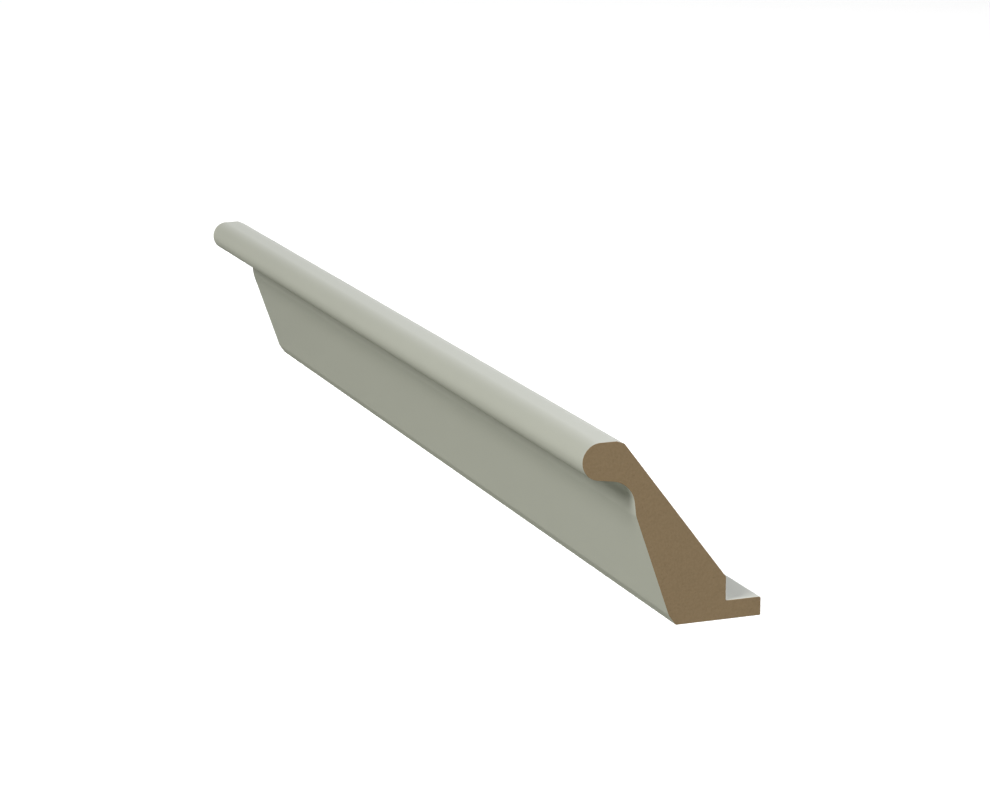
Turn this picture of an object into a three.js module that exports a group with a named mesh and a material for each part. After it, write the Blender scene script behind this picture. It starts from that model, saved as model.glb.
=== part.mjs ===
// Crown moulding: one length of moulded fibreboard, painted all round and cut square at both ends.
// Millimetres. X runs along the length, -Y is the side that shows, and +Z is up.
// The origin is the middle of the flat underside, where the piece sits on what it crowns.

import * as THREE from 'three';

// Overall sizes
const LENGTH = 350;
const HEIGHT = 50;
const BASE_DEPTH = 24;

// Fixing ledge along the back, and the upright step that rises from it
const LEDGE_DEPTH = 10;
const LEDGE_THICKNESS = 5;
const STEP_RISE = 6.4;
const LEDGE_ROUND = 0.45;

// Sloping front face with a chamfer at its foot. Angles are in degrees from level.
const CHAMFER_DEPTH = 1.95;
const CHAMFER_HEIGHT = 2.75;
const FACE_ANGLE = 70.9;

// Neck between the face and the bead, and the cove that turns it out into the bead's soffit
const NECK_RISE = 10.3;
const NECK_ANGLE = 83;
const NECK_ROUND = 4;
const COVE_RADIUS = 7;
const SOFFIT_FALL = 8.4;

// Bead along the top edge, the flat behind its crown, and the eased crest behind the flat
const BEAD_RADIUS = 4.9;
const BEAD_REACH = 9.9;
const TOP_FLAT = 4.4;
const CREST_DEPTH = 2.1;
const CREST_DROP = 0.8;

// Softened arrises, the furthest that a chord may lie from a true arc, and the share of a side
// that a round may take up where the side is too short for its radius
const ARRIS_ROUND = 0.3;
const CHORD_ERROR = 0.005;
const ROUND_SHARE = 0.6;

// Paint on the moulding
const PAINT_COLOUR = 0xb3b5aa;
const PAINT_ROUGHNESS = 0.48;

const radians = THREE.MathUtils.degToRad;

// The section is drawn with x as depth, towards the back, and y as height.
function point(depth, height) {
  return new THREE.Vector2(depth, height);
}

// Unit vector at an angle in degrees, counted anticlockwise from the back.
function heading(degrees) {
  return point(Math.cos(radians(degrees)), Math.sin(radians(degrees)));
}

// The point where the line through a along u crosses the line through b along v.
function crossing(a, u, b, v) {
  const gap = b.clone().sub(a);
  const along = gap.cross(v) / u.cross(v);
  return a.clone().addScaledVector(u, along);
}

// Points on an arc between two angles in degrees, both ends included.
function arc(centre, radius, start, end) {
  const widest = 2 * Math.acos(1 - CHORD_ERROR / radius);
  const steps = Math.max(1, Math.ceil(Math.abs(radians(end - start)) / widest));
  const points = [];
  for (let i = 0; i <= steps; i++) {
    const angle = start + (end - start) * i / steps;
    points.push(centre.clone().addScaledVector(heading(angle), radius));
  }
  return points;
}

// Points that replace a corner by an arc touching both of its sides. The arc's ends lie back along
// the sides by the radius over the tangent of half the corner's inner angle.
function rounded(before, corner, after, radius) {
  const back = before.clone().sub(corner);
  const ahead = after.clone().sub(corner);
  const half = Math.abs(back.angleTo(ahead)) / 2;
  const room = ROUND_SHARE * Math.min(back.length(), ahead.length());
  const reach = Math.min(radius / Math.tan(half), room);
  const fitted = reach * Math.tan(half);
  const start = corner.clone().addScaledVector(back.normalize(), reach);
  const end = corner.clone().addScaledVector(ahead.normalize(), reach);
  const middle = back.clone().add(ahead).normalize();
  const centre = corner.clone().addScaledVector(middle, fitted / Math.sin(half));
  const first = THREE.MathUtils.radToDeg(start.clone().sub(centre).angle());
  const turn = THREE.MathUtils.radToDeg(end.clone().sub(centre).angle()) - first;
  const shortest = THREE.MathUtils.euclideanModulo(turn + 180, 360) - 180;
  return arc(centre, fitted, first, first + shortest);
}

// Outline of the section, anticlockwise from the front corner of the underside.
function section() {
  const base = point(0, 0);
  const heel = point(BASE_DEPTH, 0);
  const ledgeEdge = point(BASE_DEPTH, LEDGE_THICKNESS);
  const ledgeRoot = point(BASE_DEPTH - LEDGE_DEPTH, LEDGE_THICKNESS);
  const stepTop = point(ledgeRoot.x, LEDGE_THICKNESS + STEP_RISE);

  // The face climbs forwards from the chamfer to the foot of the neck.
  const chamferTop = point(-CHAMFER_DEPTH, CHAMFER_HEIGHT);
  const neckHeight = HEIGHT - 2 * BEAD_RADIUS - NECK_RISE;
  const level = heading(0);
  const faceHeading = heading(180 - FACE_ANGLE);
  const neckFoot = crossing(chamferTop, faceHeading, point(0, neckHeight), level);

  // The bead is a circle under the top, and the soffit leaves it on a tangent.
  const beadCentre = point(neckFoot.x - BEAD_REACH, HEIGHT - BEAD_RADIUS);
  const crown = arc(beadCentre, BEAD_RADIUS, 90, 180);
  const underBead = arc(beadCentre, BEAD_RADIUS, 180, 270 - SOFFIT_FALL);
  const soffitStart = underBead.at(-1);
  const neckHeading = heading(180 - NECK_ANGLE);
  const coveCorner = crossing(soffitStart, heading(-SOFFIT_FALL), neckFoot, neckHeading);

  // Behind the bead the top runs flat, then eases down to the back slope.
  const flatEnd = point(beadCentre.x + TOP_FLAT, HEIGHT);
  const crest = point(flatEnd.x + CREST_DEPTH, HEIGHT - CREST_DROP);

  return [
    ...rounded(chamferTop, base, heel, ARRIS_ROUND),
    ...rounded(base, heel, ledgeEdge, ARRIS_ROUND),
    ...rounded(heel, ledgeEdge, ledgeRoot, LEDGE_ROUND),
    ...rounded(ledgeEdge, ledgeRoot, stepTop, LEDGE_ROUND),
    ...rounded(ledgeRoot, stepTop, crest, ARRIS_ROUND),
    ...rounded(stepTop, crest, flatEnd, ARRIS_ROUND),
    ...rounded(crest, flatEnd, crown[0], ARRIS_ROUND),
    ...crown,
    ...underBead.slice(1),
    ...rounded(soffitStart, coveCorner, neckFoot, COVE_RADIUS),
    ...rounded(coveCorner, neckFoot, chamferTop, NECK_ROUND),
    ...rounded(neckFoot, chamferTop, base, ARRIS_ROUND),
  ];
}

// The section is drawn out along the length: its depth becomes Y, its height Z, and the run X.
function crownMoulding() {
  const shape = new THREE.Shape(section());
  const geometry = new THREE.ExtrudeGeometry(shape, { depth: LENGTH, bevelEnabled: false });
  const standing = new THREE.Matrix4().makeBasis(
    new THREE.Vector3(0, 1, 0),
    new THREE.Vector3(0, 0, 1),
    new THREE.Vector3(1, 0, 0),
  );
  geometry.applyMatrix4(standing);

  const paint = new THREE.MeshStandardMaterial({
    color: PAINT_COLOUR,
    roughness: PAINT_ROUGHNESS,
    metalness: 0,
  });
  const mesh = new THREE.Mesh(geometry, paint);
  mesh.name = 'crown_moulding';
  mesh.position.set(-LENGTH / 2, -BASE_DEPTH / 2, 0);
  return mesh;
}

const model = new THREE.Group();
model.name = 'crown_moulding_piece';
model.add(crownMoulding());

export default model;
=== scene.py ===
"""One length of painted crown moulding with bare sawn ends, on a pale floor in soft light.

The section is worked out from the sizes below and carried along the length. Lengths are in metres
and angles in radians. X runs along the length, -Y is the side that shows, and +Z is up. The origin
is the middle of the flat underside.
"""

import math

import bpy
import numpy as np
from bpy.props import FloatProperty, FloatVectorProperty, PointerProperty
from bpy.types import NodeSocket, Operator, Panel, PropertyGroup
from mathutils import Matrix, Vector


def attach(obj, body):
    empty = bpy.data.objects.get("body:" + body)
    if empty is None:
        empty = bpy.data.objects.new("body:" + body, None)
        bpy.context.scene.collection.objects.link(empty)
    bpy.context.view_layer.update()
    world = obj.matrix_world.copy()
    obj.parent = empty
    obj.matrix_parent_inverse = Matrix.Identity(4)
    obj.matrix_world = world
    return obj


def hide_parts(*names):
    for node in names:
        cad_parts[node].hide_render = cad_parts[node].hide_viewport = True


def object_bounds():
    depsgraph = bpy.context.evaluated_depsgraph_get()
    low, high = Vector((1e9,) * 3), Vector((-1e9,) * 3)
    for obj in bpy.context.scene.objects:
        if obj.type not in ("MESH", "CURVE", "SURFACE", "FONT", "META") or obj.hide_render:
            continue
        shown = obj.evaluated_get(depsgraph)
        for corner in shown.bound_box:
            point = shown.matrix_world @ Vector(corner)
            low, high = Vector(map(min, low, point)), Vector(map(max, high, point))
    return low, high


bl_info = {
    "name": "Crown Moulding",
    "version": (1, 0, 0),
    "blender": (4, 5, 0),
    "location": "View3D > Sidebar > Moulding",
    "description": "Builds a length of painted crown moulding and the studio it stands in",
    "category": "Add Mesh",
}

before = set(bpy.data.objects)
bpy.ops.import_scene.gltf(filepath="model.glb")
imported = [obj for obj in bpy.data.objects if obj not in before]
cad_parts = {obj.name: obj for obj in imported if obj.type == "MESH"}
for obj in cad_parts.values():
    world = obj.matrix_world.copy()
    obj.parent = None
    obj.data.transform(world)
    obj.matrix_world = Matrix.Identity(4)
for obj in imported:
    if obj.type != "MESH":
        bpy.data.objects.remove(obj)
CAD_LOW, CAD_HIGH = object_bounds()

NODE = "crown_moulding"
PIECE = "painted_moulding"
FLOOR = "floor"
GRAIN = "Grain"
ARRIS = "arris"
THIN_COAT = "thin_coat"
MM = 0.001
BLACK = (0.0, 0.0, 0.0)

# Spacing of the mesh: the widest step round an arc, across a flat and along the length
ARC_STEP = math.radians(4.0)
FLAT_STEP = 1.2 * MM
LENGTH_STEP = 2.5 * MM
# Distances from a sawn end at which the mesh is closed up, so that the painted edge highlight
# there stays fine
END_STEPS = (0.35 * MM, 0.8 * MM, 1.5 * MM)
# How far the painted edge highlight along an arris reaches
ARRIS_REACH = 0.9 * MM
# A face starts to count as turned to the back, and counts in full, where its outward normal goes
# this far back
BACK_FROM = 0.25
BACK_TO = 0.6
# Waves in the paint's broken edge: the millimetres in which each turns one radian
BREAK_WAVES = (0.31, 0.83, 2.17)
# Places of the two materials on the mesh
PAINTED = 0
BARE = 1

# How far the clouds, the mottle and the fibres move a brightness or a roughness, end to end
PAINT_CLOUDS = 0.05
PAINT_MOTTLE = 0.04
FLOOR_CLOUDS = 0.02
MOTTLE_ROUGHNESS = 0.08
FIBRE_ROUGHNESS = 0.1
# How far the board shows through a lean coat, and how much rougher that coat is
LEAN_SHOWS = 0.22
LEAN_ROUGHNESS = 0.12
# Height of the raised fibre against the paint's ripple, and of blade marks against the fibre
FIBRE_RELIEF = 0.25
BLADE_RELIEF = 0.2

# How far each thing takes the sawn board to its dark colour, and what comes off their sum
FIBRE_TONE = 0.5
CLOUD_TONE = 0.12
BLADE_TONE = 0.02
FLECK_TONE = 0.25
DENSE_TONE = 0.14
PALE_TONE = 0.16
# Spacing of the flecks, and the shares of it at which one starts to fade and is gone
FLECK_SPACING = 1.3 * MM
FLECK_CORE = 0.05
FLECK_EDGE = 0.22
# Depth of the board's denser faces
DENSE_DEPTH = 3.0 * MM
# Where the saw's blade turned, as (depth from the middle, height), the step of its marks, and
# the radians by which the clouds move them
BLADE_HUB = (-70.0 * MM, 120.0 * MM)
BLADE_STEP = 1.7 * MM
BLADE_WANDER = 5.0
# The crest is the section's furthest point this way, as (depth, height)
CREST_WAY = (0.3, 1.0)
# Numbers of the Mix node's sockets for colours
MIX_FIRST = 6
MIX_SECOND = 7
MIX_RESULT = 2

# Half the floor's width, and how far it lies below the moulding
FLOOR_REACH = 12.0
FLOOR_DROP = 0.1 * MM
# Places of the camera and of the four soft lights, and how wide each light is
CAMERA_PLACE = (0.80049, -0.29833, 0.22142)
KEY_PLACE = (0.8, -2.2, 1.85)
KEY_WIDTH = 1.1
BEHIND_PLACE = (0.0, 2.45, 1.65)
BEHIND_WIDTH = 2.6
BESIDE_PLACE = (2.55, 1.2, 1.05)
BESIDE_WIDTH = 1.5
OVERHEAD_PLACE = (0.0, 0.0, 5.0)
OVERHEAD_WIDTH = 5.0
# Width of the camera's sensor in millimetres, and the nearest thing that it shows
SENSOR_WIDTH = 36.0
NEAREST_SHOWN = 0.01


def length_size(name, description, default):
    """A size in metres that a user can change."""
    return FloatProperty(
        name=name, description=description, default=default, min=0.0, precision=5, unit="LENGTH"
    )


def slope(name, description, degrees):
    """An angle that a user can change, given here in degrees."""
    return FloatProperty(
        name=name, description=description, default=math.radians(degrees), subtype="ANGLE"
    )


def colour(name, description, red, green, blue):
    """A colour that a user can change, in linear light."""
    return FloatVectorProperty(
        name=name,
        description=description,
        default=(red, green, blue),
        min=0.0,
        max=1.0,
        size=3,
        subtype="COLOR",
    )


def amount(name, description, default):
    """A share from nothing to one that a user can change."""
    return FloatProperty(name=name, description=description, default=default, min=0.0, max=1.0)


def watts(name, description, default):
    """The power of a light that a user can change."""
    return FloatProperty(
        name=name, description=description, default=default, min=0.0, unit="POWER"
    )


class MouldingSizes(PropertyGroup):
    """Sizes of the moulding's length and section."""

    length: length_size("Length", "Length between the sawn ends", CAD_HIGH.x - CAD_LOW.x)
    height: length_size("Height", "Underside to top of the bead", CAD_HIGH.z - CAD_LOW.z)
    base_depth: length_size("Base depth", "Depth of the flat underside", 2 * CAD_HIGH.y)
    ledge_depth: length_size("Ledge depth", "Depth of the fixing ledge", 10.0 * MM)
    ledge_thickness: length_size("Ledge thickness", "Thickness of the fixing ledge", 5.0 * MM)
    step_rise: length_size("Step rise", "Upright step behind the slope", 6.4 * MM)
    ledge_round: length_size("Ledge round", "Radius of the ledge's edges", 0.45 * MM)
    chamfer_depth: length_size("Chamfer depth", "Depth of the foot's chamfer", 1.95 * MM)
    chamfer_height: length_size("Chamfer height", "Height of the foot's chamfer", 2.75 * MM)
    face_angle: slope("Face angle", "Slope of the front face from level", 70.9)
    neck_rise: length_size("Neck rise", "Foot of the neck to the bead's lowest point", 10.3 * MM)
    neck_angle: slope("Neck angle", "Slope of the neck from level", 83.0)
    neck_round: length_size("Neck round", "Radius at the foot of the neck", 4.0 * MM)
    cove_radius: length_size("Cove radius", "Radius of the cove under the bead", 7.0 * MM)
    soffit_fall: slope("Soffit fall", "Slope of the soffit towards the back", 8.4)
    bead_radius: length_size("Bead radius", "Radius of the bead", 4.9 * MM)
    bead_reach: length_size("Bead reach", "Bead's centre in front of the neck's foot", 9.9 * MM)
    top_flat: length_size("Top flat", "Flat behind the bead's crown", 4.4 * MM)
    crest_depth: length_size("Crest depth", "Depth of the eased crest", 2.1 * MM)
    crest_drop: length_size("Crest drop", "Fall of the eased crest", 0.8 * MM)
    crest_round: length_size("Crest round", "Radius where the crest meets the slope", 0.8 * MM)
    foot_round: length_size("Foot round", "Radius where the face meets the chamfer", 4.5 * MM)
    arris_round: length_size("Arris round", "Radius of the softened arrises", 0.3 * MM)
    saw_break: length_size("Saw break", "Width of the paint's broken edge", 0.05 * MM)


class MouldingFinish(PropertyGroup):
    """Colours and surface of the paint and of the bare board."""

    paint: colour("Paint", "Grey-green satin paint", 0.441, 0.45, 0.386)
    # The pale paint is a painted edge highlight, laid along the arrises and round the sawn ends
    paint_highlight: colour("Pale paint", "Paint where it lies thin on an arris", 0.5, 0.51, 0.45)
    paint_roughness: amount("Paint roughness", "How satin the paint is", 0.4)
    peel_size: length_size("Peel size", "Spacing of the sprayed paint's ripple", 1.1 * MM)
    peel_depth: length_size("Peel depth", "Depth of the sprayed paint's ripple", 0.003 * MM)
    board: colour("Board", "Bare fibreboard where it is sawn", 0.268, 0.188, 0.098)
    board_dark: colour("Dark board", "Denser fibre and scorched flecks", 0.171, 0.1155, 0.0545)
    board_roughness: amount("Board roughness", "How matt the sawn board is", 0.85)
    fibre_size: length_size("Fibre size", "Length of the board's fibres", 0.6 * MM)
    fibre_depth: length_size("Fibre depth", "Depth of the sawn fibre", 0.02 * MM)
    stock: length_size("Stock", "Thickness of the board it was cut from", 22.0 * MM)


class MouldingStudio(PropertyGroup):
    """The floor, the light and the camera."""

    floor: colour("Floor", "Pale floor as the camera sees it", 0.92, 0.92, 0.92)
    floor_glow: colour("Floor glow", "Light added for the camera alone", 0.22, 0.22, 0.22)
    floor_bounce: colour("Floor bounce", "Floor as it lights the moulding", 0.21, 0.215, 0.185)
    key: watts("Key light", "Soft light in front of the face", 98.0)
    behind: watts("Light behind", "Soft light on the top and the ledge", 185.0)
    behind_tint: colour("Tint behind", "Colour of the light behind", 0.885, 0.885, 1.0)
    beside: watts("Light beside", "Soft light on the near sawn end", 30.0)
    overhead: watts("Light overhead", "Soft light on the floor alone", 210.0)
    azimuth: slope("Azimuth", "Camera's turn, from looking at the face", 69.26)
    elevation: slope("Elevation", "Camera's tilt above level", 13.4)
    lens: FloatProperty(
        name="Lens", description="Focal length", default=102.09, min=1.0, unit="CAMERA"
    )


def unit(vector):
    """The vector divided by its own length."""
    return vector / np.linalg.norm(vector)


def left_of(direction):
    """The direction turned a quarter turn anticlockwise."""
    return np.array((-direction[1], direction[0]))


def heading(angle):
    """The cosine and sine of an angle, as a direction."""
    return np.array((math.cos(angle), math.sin(angle)))


def crossing(first, along_first, second, along_second):
    """The point where two lines meet: the first point plus its direction times the share of it
    at which the distance off the second line is nothing."""
    off_second = left_of(along_second)
    share = ((second - first) @ off_second) / (along_first @ off_second)
    return first + share * along_first


def arc_run(centre, radius, start, turn):
    """Points and outward normals on an arc: the centre plus the radius times the cosine and sine
    of an angle that goes evenly from start through turn. An anticlockwise arc bulges, so its
    normals leave the centre, and a clockwise one is hollow, so they face it."""
    count = max(2, math.ceil(abs(turn) / ARC_STEP) + 1)
    angles = start + turn * np.linspace(0.0, 1.0, count)
    spokes = np.stack((np.cos(angles), np.sin(angles)), axis=1)
    return centre + radius * spokes, math.copysign(1.0, turn) * spokes


def corner_run(before, corner, after, radius):
    """An arc that touches both sides of a corner. It starts back along the first side by the
    radius times the tangent of half the turn, with its centre a radius off on the inner side."""
    arriving = unit(corner - before)
    leaving = unit(after - corner)
    turn = math.atan2(left_of(arriving) @ leaving, arriving @ leaving)
    start = corner - arriving * radius * math.tan(abs(turn) / 2)
    centre = start + left_of(arriving) * math.copysign(radius, turn)
    spoke = start - centre
    return arc_run(centre, radius, math.atan2(spoke[1], spoke[0]), turn)


def flat_run(start, end):
    """Points and normals strictly between two points. Their share of the way is half of one less
    the cosine of an angle that goes evenly from nothing to a half turn, so that they close up
    towards both ends, where the arrises are."""
    way = end - start
    count = max(2, math.ceil(np.linalg.norm(way) / FLAT_STEP) + 1)
    share = (1.0 - np.cos(np.pi * np.linspace(0.0, 1.0, count)[1:-1])) / 2.0
    points = start + share[:, None] * way
    return points, np.tile(-left_of(unit(way)), (len(points), 1))


def section(size):
    """Outline of the section as (depth, height) points, anticlockwise from the front corner of
    the underside, with each point's outward normal and its nearness to an arris. It is a ring of
    arcs joined by flats, and the nearness falls off as the bell curve of the distance."""
    base = np.array((0.0, 0.0))
    heel = np.array((size.base_depth, 0.0))
    ledge_edge = heel + (0.0, size.ledge_thickness)
    ledge_root = ledge_edge - (size.ledge_depth, 0.0)
    step_top = ledge_root + (0.0, size.step_rise)

    chamfer_top = np.array((-size.chamfer_depth, size.chamfer_height))
    neck_level = np.array((0.0, size.height - 2 * size.bead_radius - size.neck_rise))
    face = heading(math.pi - size.face_angle)
    neck_foot = crossing(chamfer_top, face, neck_level, heading(0.0))

    bead = np.array((neck_foot[0] - size.bead_reach, size.height - size.bead_radius))
    crown = arc_run(bead, size.bead_radius, math.pi / 2, math.pi / 2)
    under_bead = arc_run(bead, size.bead_radius, math.pi, math.pi / 2 - size.soffit_fall)
    soffit_start = under_bead[0][-1]
    neck = heading(math.pi - size.neck_angle)
    cove = crossing(soffit_start, heading(-size.soffit_fall), neck_foot, neck)

    flat_end = bead + (size.top_flat, size.bead_radius)
    crest = flat_end + (size.crest_depth, -size.crest_drop)

    arris = size.arris_round
    arcs = (
        corner_run(chamfer_top, base, heel, arris),
        corner_run(base, heel, ledge_edge, arris),
        corner_run(heel, ledge_edge, ledge_root, size.ledge_round),
        corner_run(ledge_edge, ledge_root, step_top, size.ledge_round),
        corner_run(ledge_root, step_top, crest, arris),
        corner_run(step_top, crest, flat_end, size.crest_round),
        corner_run(crest, flat_end, crown[0][0], arris),
        crown,
        under_bead,
        corner_run(soffit_start, cove, neck_foot, size.cove_radius),
        corner_run(cove, neck_foot, chamfer_top, size.neck_round),
        corner_run(neck_foot, chamfer_top, base, size.foot_round),
    )
    points = []
    normals = []
    for (arc, arc_normals), (following, _) in zip(arcs, arcs[1:] + arcs[:1]):
        if np.allclose(arc[-1], following[0]):
            points.append(arc[:-1])
            normals.append(arc_normals[:-1])
        else:
            flat, flat_normals = flat_run(arc[-1], following[0])
            points += [arc, flat]
            normals += [arc_normals, flat_normals]
    outline = np.concatenate(points)

    arrises = np.array((base, heel, ledge_edge, step_top, crest, flat_end))
    distance = np.linalg.norm(outline[:, None] - arrises[None], axis=2).min(axis=1)
    nearness = np.exp(-((distance / ARRIS_REACH) ** 2))
    return outline, np.concatenate(normals), nearness


def stock_face(size):
    """The way square to the back slope, as (depth, height), and how far out that way the section
    reaches from the middle of the underside. The slope is what is left of the face of the board
    that the section was cut from, so the reach is where that face lay."""
    outline, _, _ = section(size)
    step_top = (size.base_depth - size.ledge_depth, size.ledge_thickness + size.step_rise)
    crest = outline[np.argmax(outline @ CREST_WAY)]
    across = left_of(unit(step_top - crest))
    from_middle = outline - (size.base_depth / 2, 0.0)
    return across, (from_middle @ across).max()


def saw_break(size, outline):
    """Width of the paint's broken edge at each point of the outline: the set width, varied by a
    third either way by three sine waves of the distance run along the outline."""
    run = np.cumsum(np.linalg.norm(outline - np.roll(outline, 1, axis=0), axis=1))
    wander = sum(np.sin(run / (wave * MM) + wave) for wave in BREAK_WAVES)
    return size.saw_break * (1.0 + wander / (3 * len(BREAK_WAVES)))


def moulding_grid(size):
    """The section carried along the length, as a grid of stations by outline points.

    A point is (x of its station, depth less half the base, height). The stations are even along
    the length and closer together at its ends. At each end the last ring is the outline drawn in
    along its normals by the width of the broken edge, and the ring before it lies back from the
    end by that width, so that a fine bevel runs round the sawn end."""
    outline, normals, nearness = section(size)
    bite = saw_break(size, outline)
    half = size.length / 2
    inner = half - END_STEPS[-1]
    count = math.ceil(2 * inner / LENGTH_STEP) + 1
    closing = np.array(END_STEPS[:-1])
    stations = np.concatenate(
        (-half + closing, np.linspace(-inner, inner, count), half - closing[::-1])
    )
    ends = np.ones_like(bite)
    x = np.concatenate(
        (
            (-half * ends, -half + bite),
            np.tile(stations[:, None], (1, len(outline))),
            (half - bite, half * ends),
        )
    )
    section_at = np.tile(outline, (len(x), 1, 1))
    section_at[[0, -1]] -= bite[:, None] * normals
    depth = section_at[..., 0] - size.base_depth / 2
    grid = np.stack((x, depth, section_at[..., 1]), axis=2)

    end_distance = half - np.abs(x)
    end_nearness = np.exp(-((end_distance / ARRIS_REACH) ** 2))
    arris = np.maximum(end_nearness, nearness[None])
    turned_back = np.clip((normals[:, 0] - BACK_FROM) / (BACK_TO - BACK_FROM), 0.0, 1.0)
    underneath = (outline[:, 1] < size.arris_round) & (normals[:, 1] < 0.0)
    thin = np.tile(np.maximum(turned_back, underneath), (len(x), 1))
    return grid, normals, arris, thin


def moulding_mesh(size):
    """The grid's mesh: a quad between each four neighbours, and one flat face over each end.

    The quads carry the true normal of the section, the end bevels lean half way to the end, and
    the end faces look straight along the length. The bevels, which are the first and the last
    ring of quads, and the end faces after them are bare board. Two attributes are stored: arris,
    the nearness to an arris, and thin_coat, which rises to one on the faces turned to the back
    and is one underneath."""
    grid, normals, arris, thin = moulding_grid(size)
    rings, around = grid.shape[:2]
    index = np.arange(rings * around).reshape(rings, around)
    following = np.roll(index, -1, axis=1)
    corners = (index[:-1], following[:-1], following[1:], index[1:])
    quads = np.stack(corners, axis=2).reshape(-1, 4)
    low_end = index[0, ::-1]
    high_end = index[-1]
    faces = [*quads.tolist(), low_end.tolist(), high_end.tolist()]

    mesh = bpy.data.meshes.new(PIECE)
    mesh.from_pydata(grid.reshape(-1, 3), [], faces)
    for name, values in ((ARRIS, arris), (THIN_COAT, thin)):
        mesh.attributes.new(name, "FLOAT", "POINT").data.foreach_set("value", values.ravel())

    material = np.full(len(faces), PAINTED, np.int32)
    material[:around] = BARE
    material[-around - 2 :] = BARE
    mesh.polygons.foreach_set("material_index", material)
    mesh.polygons.foreach_set("use_smooth", np.ones(len(faces), bool))

    facing = np.tile(np.column_stack((np.zeros(around), normals)), (rings - 1, 1, 1))
    facing[0, :, 0] = -1.0
    facing[-1, :, 0] = 1.0
    facing /= np.linalg.norm(facing, axis=2, keepdims=True)
    beside = np.roll(facing, -1, axis=1)
    quad_normals = np.stack((facing, beside, beside, facing), axis=2).reshape(-1, 3)
    end_normals = np.repeat(((-1.0, 0.0, 0.0), (1.0, 0.0, 0.0)), around, axis=0)
    mesh.normals_split_custom_set(np.concatenate((quad_normals, end_normals)).tolist())
    return mesh


def feed(tree, node, inputs):
    """Feeds a node's sockets. inputs gives them by name or number, each with a value or with the
    socket that it takes its value from."""
    for name, value in inputs.items():
        if isinstance(value, NodeSocket):
            tree.links.new(value, node.inputs[name])
        else:
            node.inputs[name].default_value = value


def add(tree, kind, inputs=None, **settings):
    """Adds a node. settings are its plain properties, and inputs feeds its sockets."""
    made = tree.nodes.new(kind)
    for name, value in settings.items():
        setattr(made, name, value)
    feed(tree, made, inputs or {})
    return made


def maths(tree, operation, first, second=0.0, third=0.0, clamp=False):
    """A sum or other operation on numbers, as a socket."""
    inputs = {0: first, 1: second, 2: third}
    return add(tree, "ShaderNodeMath", inputs, operation=operation, use_clamp=clamp).outputs[0]


def vector_maths(tree, operation, inputs):
    """An operation on vectors, as the socket that it leaves in use: a length and a dot product
    are numbers, and the others are vectors."""
    made = add(tree, "ShaderNodeVectorMath", inputs, operation=operation)
    return next(socket for socket in made.outputs if socket.enabled)


def blend(tree, share, first, second):
    """A colour that goes from the first to the second as share goes from nothing to one."""
    inputs = {0: share, MIX_FIRST: first, MIX_SECOND: second}
    made = add(tree, "ShaderNodeMix", inputs, data_type="RGBA", clamp_factor=True)
    return made.outputs[MIX_RESULT]


def fade(tree, value, start, end, curve="LINEAR"):
    """One up to where the value is start, falling to nothing where it is end."""
    inputs = {"Value": value, "From Min": start, "From Max": end, "To Min": 1.0, "To Max": 0.0}
    return add(tree, "ShaderNodeMapRange", inputs, interpolation_type=curve).outputs[0]


def vary(tree, middle, *changes):
    """A number that grains move evenly either way of the middle. changes are (grain, how far it
    moves the number from one end to the other)."""
    value = middle - sum(reach for _, reach in changes) / 2
    for mask, reach in changes:
        value = maths(tree, "MULTIPLY_ADD", mask, reach, value)
    return value


def stored(tree, name):
    """The value that the mesh stores under an attribute's name."""
    return add(tree, "ShaderNodeAttribute", attribute_name=name).outputs["Fac"]


def opaque(rgb):
    """A colour with full opacity."""
    return (*rgb, 1.0)


def effect(name, inputs, output):
    """A new shader node group that takes numbers, given here by name with their defaults, and
    puts out one number. It returns the group, its input sockets and its output node."""
    tree = bpy.data.node_groups.new(name, "ShaderNodeTree")
    for label, default in inputs.items():
        socket = tree.interface.new_socket(label, in_out="INPUT", socket_type="NodeSocketFloat")
        socket.default_value = default
    tree.interface.new_socket(output, in_out="OUTPUT", socket_type="NodeSocketFloat")
    return tree, tree.nodes.new("NodeGroupInput").outputs, tree.nodes.new("NodeGroupOutput")


def use(tree, group, inputs):
    """Places a group with its own values and returns its output."""
    return add(tree, "ShaderNodeGroup", inputs, node_tree=group).outputs[0]


def grain_effect():
    """Grain: cloudy noise on Object coordinates, as an even value round one half. Size is the
    spacing of the clouds in metres and Stretch draws them out along the length."""
    defaults = {"Size": 1.0 * MM, "Stretch": 1.0, "Detail": 2.0, "Contrast": 1.0}
    tree, given, result = effect(GRAIN, defaults, "Value")
    place = add(tree, "ShaderNodeTexCoord").outputs["Object"]
    parts = add(tree, "ShaderNodeSeparateXYZ", {0: place}).outputs
    drawn = maths(tree, "DIVIDE", parts["X"], given["Stretch"])
    joined = add(tree, "ShaderNodeCombineXYZ", {"X": drawn, "Y": parts["Y"], "Z": parts["Z"]})
    scale = maths(tree, "DIVIDE", 1.0, given["Size"])
    inputs = {"Vector": joined.outputs[0], "Scale": scale, "Detail": given["Detail"]}
    noise = add(tree, "ShaderNodeTexNoise", inputs)
    centred = maths(tree, "SUBTRACT", noise.outputs[0], 0.5)
    value = maths(tree, "MULTIPLY_ADD", centred, given["Contrast"], 0.5, clamp=True)
    feed(tree, result, {"Value": value})
    return tree


def edge_highlight_effect(grain):
    """Painted edge highlight: the stored nearness to an arris, broken up by grain, as a mask for
    paler paint.
    """
    tree, given, result = effect("Edge wear", {"Amount": 0.5, "Break-up": 2.0 * MM}, "Mask")
    broken = use(tree, grain, {"Size": given["Break-up"], "Detail": 3.0, "Contrast": 2.5})
    highlight_mask = maths(tree, "MULTIPLY", stored(tree, ARRIS), broken)
    feed(tree, result, {"Mask": maths(tree, "MULTIPLY", highlight_mask, given["Amount"], clamp=True)})
    return tree


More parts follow.
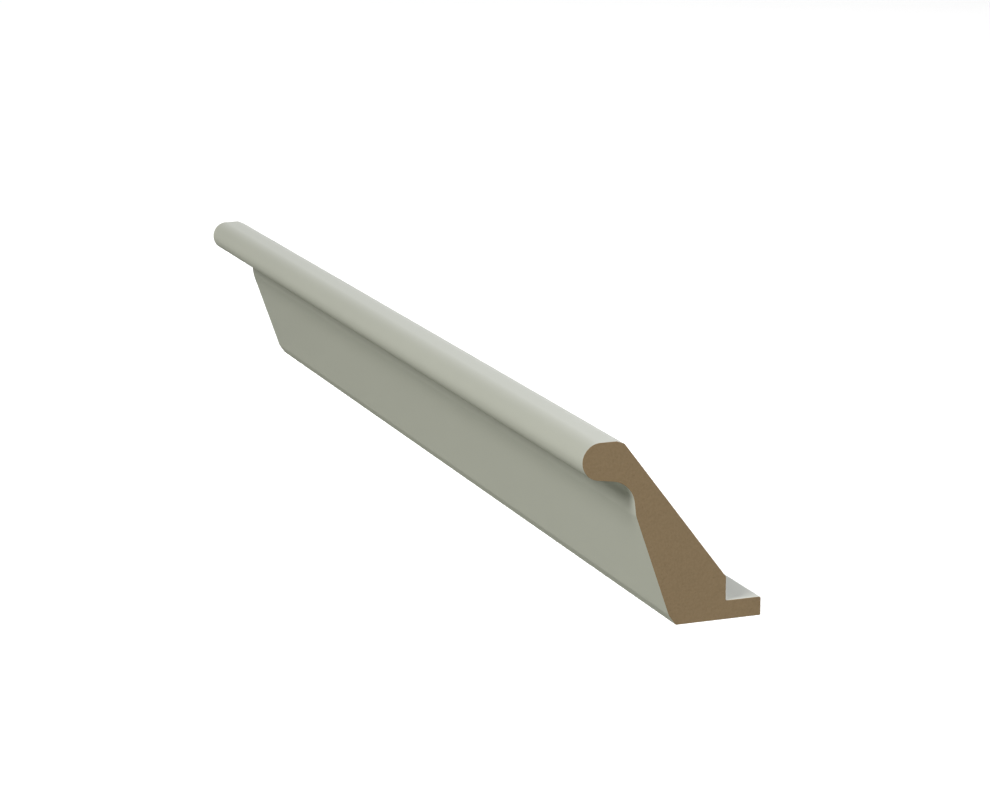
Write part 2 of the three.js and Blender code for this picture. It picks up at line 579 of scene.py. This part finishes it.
def new_material(name):
    """An empty node material with its shader and its output joined."""
    material = bpy.data.materials.new(name)
    material.use_nodes = True
    tree = material.node_tree
    tree.nodes.clear()
    shader = add(tree, "ShaderNodeBsdfPrincipled")
    add(tree, "ShaderNodeOutputMaterial", {"Surface": shader.outputs[0]})
    return material, tree, shader


def paint_material(finish, grain, edge_highlight):
    """Satin paint: faint clouds and a finer mottle in its colour, a sprayed ripple, a painted edge
    highlight that turns it paler along the arrises and round the sawn ends, and a leaner coat that
    lets the board tint it on the back and underneath."""
    material, tree, shader = new_material("satin_paint")
    cloud = use(tree, grain, {"Size": 38.0 * MM, "Stretch": 2.5, "Contrast": 0.9})
    mottle = use(tree, grain, {"Size": 0.7 * MM, "Detail": 4.0, "Contrast": 0.8})
    shade = vary(tree, 1.0, (cloud, PAINT_CLOUDS), (mottle, PAINT_MOTTLE))
    base = vector_maths(tree, "SCALE", {0: finish.paint, "Scale": shade})
    # Painted edge highlight: the paint turns paler along the arrises and round the sawn ends
    highlight_mask = use(tree, edge_highlight, {"Amount": 0.6, "Break-up": 1.6 * MM})
    painted = blend(tree, highlight_mask, base, opaque(finish.paint_highlight))

    streaks = use(tree, grain, {"Size": 5.0 * MM, "Stretch": 9.0, "Detail": 4.0, "Contrast": 1.6})
    thin = stored(tree, THIN_COAT)
    lean = maths(tree, "MULTIPLY", thin, maths(tree, "MULTIPLY", streaks, LEAN_SHOWS))
    covered = blend(tree, lean, painted, opaque(finish.board))
    rough = vary(tree, finish.paint_roughness, (mottle, MOTTLE_ROUGHNESS))
    rough = maths(tree, "MULTIPLY_ADD", thin, LEAN_ROUGHNESS, rough)

    ripple = use(tree, grain, {"Size": finish.peel_size, "Detail": 1.0})
    fibre = use(tree, grain, {"Size": 0.25 * MM, "Stretch": 2.0, "Detail": 3.0})
    height = maths(tree, "MULTIPLY_ADD", fibre, FIBRE_RELIEF, ripple)
    bump = add(tree, "ShaderNodeBump", {"Height": height, "Distance": finish.peel_depth})
    looks = {"Base Color": covered, "Roughness": rough, "Normal": bump.outputs["Normal"]}
    feed(tree, shader, looks)
    return material


def board_material(finish, size, grain):
    """Sawn fibreboard: short fibres and dark flecks, denser and darker towards the two faces of
    the board that the section was cut from, and the blade's faint curved marks. A mark is the
    sine of the distance from where the blade turned, moved a little by the clouds."""
    material, tree, shader = new_material("bare_fibreboard")
    place = add(tree, "ShaderNodeTexCoord").outputs["Object"]
    fibre = use(tree, grain, {"Size": finish.fibre_size, "Detail": 5.0, "Contrast": 1.4})
    cloud = use(tree, grain, {"Size": 7.0 * MM, "Detail": 3.0, "Contrast": 1.2})
    spots = add(tree, "ShaderNodeTexVoronoi", {"Vector": place, "Scale": 1.0 / FLECK_SPACING})
    fleck = fade(tree, spots.outputs["Distance"], FLECK_CORE, FLECK_EDGE)

    across, back_level = stock_face(size)
    level = vector_maths(tree, "DOT_PRODUCT", {0: place, 1: (0.0, *across)})
    below = maths(tree, "SUBTRACT", back_level, level)
    above = maths(tree, "SUBTRACT", finish.stock, below)
    dense = fade(tree, maths(tree, "MINIMUM", below, above), 0.0, DENSE_DEPTH, "SMOOTHSTEP")

    inputs = {0: place, 1: (0.0, 1.0, 1.0), 2: (0.0, -BLADE_HUB[0], -BLADE_HUB[1])}
    from_hub = vector_maths(tree, "MULTIPLY_ADD", inputs)
    radius = vector_maths(tree, "LENGTH", {0: from_hub})
    phase = maths(tree, "MULTIPLY", radius, math.tau / BLADE_STEP)
    marks = maths(tree, "SINE", maths(tree, "MULTIPLY_ADD", cloud, BLADE_WANDER, phase))

    tone = -PALE_TONE
    for mask, reach in (
        (fibre, FIBRE_TONE),
        (cloud, CLOUD_TONE),
        (marks, BLADE_TONE),
        (fleck, FLECK_TONE),
        (dense, DENSE_TONE),
    ):
        tone = maths(tree, "MULTIPLY_ADD", mask, reach, tone)
    sawn = blend(tree, tone, opaque(finish.board), opaque(finish.board_dark))
    rough = vary(tree, finish.board_roughness, (fibre, FIBRE_ROUGHNESS))
    height = maths(tree, "MULTIPLY_ADD", marks, BLADE_RELIEF, fibre)
    bump = add(tree, "ShaderNodeBump", {"Height": height, "Distance": finish.fibre_depth})
    looks = {"Base Color": sawn, "Roughness": rough, "Normal": bump.outputs["Normal"]}
    feed(tree, shader, looks)
    return material


def floor_material(studio, grain):
    """Pale matt floor with a faint cloudiness. It gives the moulding less light than it shows to
    the camera, as a floor does that is lit for a white background, and glows for the camera
    alone, so that it stays white far behind the moulding too."""
    material, tree, shader = new_material("pale_floor")
    material.cycles.emission_sampling = "NONE"
    cloud = use(tree, grain, {"Size": 60.0 * MM, "Detail": 3.0})
    seen = add(tree, "ShaderNodeLightPath").outputs["Is Camera Ray"]
    level = blend(tree, seen, opaque(studio.floor_bounce), opaque(studio.floor))
    shade = vary(tree, 1.0, (cloud, FLOOR_CLOUDS))
    looks = {
        "Base Color": vector_maths(tree, "SCALE", {0: level, "Scale": shade}),
        "Roughness": 0.9,
        "Specular IOR Level": 0.2,
        "Emission Color": blend(tree, seen, opaque(BLACK), opaque(studio.floor_glow)),
        "Emission Strength": 1.0,
    }
    feed(tree, shader, looks)
    return material


class MOULDING_OT_length(Operator):
    """Builds the painted moulding and its sawn ends"""

    bl_idname = "moulding.length"
    bl_label = "Moulding length"

    def execute(self, context):
        size = context.scene.moulding_sizes
        finish = context.scene.moulding_finish
        grain = grain_effect()
        # The edge mask lays a painted highlight along the arrises
        edge_highlight = edge_highlight_effect(grain)
        mesh = moulding_mesh(size)
        mesh.materials.append(paint_material(finish, grain, edge_highlight))
        mesh.materials.append(board_material(finish, size, grain))
        piece = bpy.data.objects.new(PIECE, mesh)
        context.scene.collection.objects.link(piece)
        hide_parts(NODE)
        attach(piece, "root")
        return {"FINISHED"}


class MOULDING_OT_studio(Operator):
    """Lays the floor, sets the soft light and places the camera"""

    bl_idname = "moulding.studio"
    bl_label = "Studio"

    def execute(self, context):
        studio = context.scene.moulding_studio
        self.lay_floor(context, studio)
        self.light(context, studio)
        self.place_camera(context, studio)
        context.scene.view_settings.view_transform = "Standard"
        return {"FINISHED"}

    def lay_floor(self, context, studio):
        """A square plane just under the moulding, wide enough for every view."""
        turns = ((-1, -1), (1, -1), (1, 1), (-1, 1))
        corners = [(x * FLOOR_REACH, y * FLOOR_REACH, -FLOOR_DROP) for x, y in turns]
        mesh = bpy.data.meshes.new(FLOOR)
        mesh.from_pydata(corners, [], [(0, 1, 2, 3)])
        mesh.materials.append(floor_material(studio, bpy.data.node_groups[GRAIN]))
        floor = bpy.data.objects.new(FLOOR, mesh)
        context.scene.collection.objects.link(floor)

    def light(self, context, studio):
        """Four square soft lights under a dark sky. The one behind reaches the moulding alone
        and the one overhead the floor alone, so that no shadow lies in front."""
        world = bpy.data.worlds.new("dark_sky")
        world.use_nodes = True
        world.node_tree.nodes["Background"].inputs["Strength"].default_value = 0.0
        context.scene.world = world
        self.softbox(context, "key", KEY_PLACE, KEY_WIDTH, studio.key)
        behind = self.softbox(context, "behind", BEHIND_PLACE, BEHIND_WIDTH, studio.behind)
        behind.data.color = studio.behind_tint
        self.reach_only(behind, PIECE)
        self.softbox(context, "beside", BESIDE_PLACE, BESIDE_WIDTH, studio.beside)
        overhead = self.softbox(
            context, "overhead", OVERHEAD_PLACE, OVERHEAD_WIDTH, studio.overhead
        )
        self.reach_only(overhead, FLOOR)

    def softbox(self, context, name, place, width, power):
        """One square soft light, white at first, turned towards the origin and hidden from the
        camera."""
        lamp = bpy.data.lights.new(name, "AREA")
        lamp.shape = "SQUARE"
        lamp.size = width
        lamp.energy = power
        box = bpy.data.objects.new(name, lamp)
        box.location = place
        box.rotation_euler = (-box.location).to_track_quat("-Z", "Y").to_euler()
        box.visible_camera = False
        context.scene.collection.objects.link(box)
        return box

    def reach_only(self, box, name):
        """Lets a light reach one object alone, with no shadow of anything else on it."""
        reached = bpy.data.collections.new(box.name + "_reaches")
        reached.objects.link(bpy.data.objects[name])
        box.light_linking.receiver_collection = reached
        box.light_linking.blocker_collection = reached

    def place_camera(self, context, studio):
        """A level-headed camera that looks down at the near end from in front."""
        lens = bpy.data.cameras.new("camera")
        lens.lens = studio.lens
        lens.sensor_width = SENSOR_WIDTH
        lens.clip_start = NEAREST_SHOWN
        camera = bpy.data.objects.new("camera", lens)
        camera.location = CAMERA_PLACE
        camera.rotation_euler = (math.pi / 2 - studio.elevation, 0.0, studio.azimuth)
        context.scene.collection.objects.link(camera)
        context.scene.camera = camera


class MOULDING_PT_sidebar(Panel):
    """Lists the moulding's sizes, its finish and the studio in the sidebar"""

    bl_idname = "MOULDING_PT_sidebar"
    bl_label = "Crown moulding"
    bl_space_type = "VIEW_3D"
    bl_region_type = "UI"
    bl_category = "Moulding"

    def draw(self, context):
        scene = context.scene
        for operator in (MOULDING_OT_length, MOULDING_OT_studio):
            self.layout.operator(operator.bl_idname)
        for group in (scene.moulding_sizes, scene.moulding_finish, scene.moulding_studio):
            box = self.layout.box()
            for name in group.__annotations__:
                box.prop(group, name)


CLASSES = (
    MouldingSizes,
    MouldingFinish,
    MouldingStudio,
    MOULDING_OT_length,
    MOULDING_OT_studio,
    MOULDING_PT_sidebar,
)


def register():
    """Registers the classes and hangs the settings on the scene."""
    for kind in CLASSES:
        bpy.utils.register_class(kind)
    bpy.types.Scene.moulding_sizes = PointerProperty(type=MouldingSizes)
    bpy.types.Scene.moulding_finish = PointerProperty(type=MouldingFinish)
    bpy.types.Scene.moulding_studio = PointerProperty(type=MouldingStudio)


def unregister():
    """Takes the settings off the scene and the classes out again."""
    for name in ("moulding_studio", "moulding_finish", "moulding_sizes"):
        delattr(bpy.types.Scene, name)
    for kind in reversed(CLASSES):
        bpy.utils.unregister_class(kind)


def main():
    register()
    bpy.ops.moulding.length()
    bpy.ops.moulding.studio()


if __name__ == "__main__":
    main()
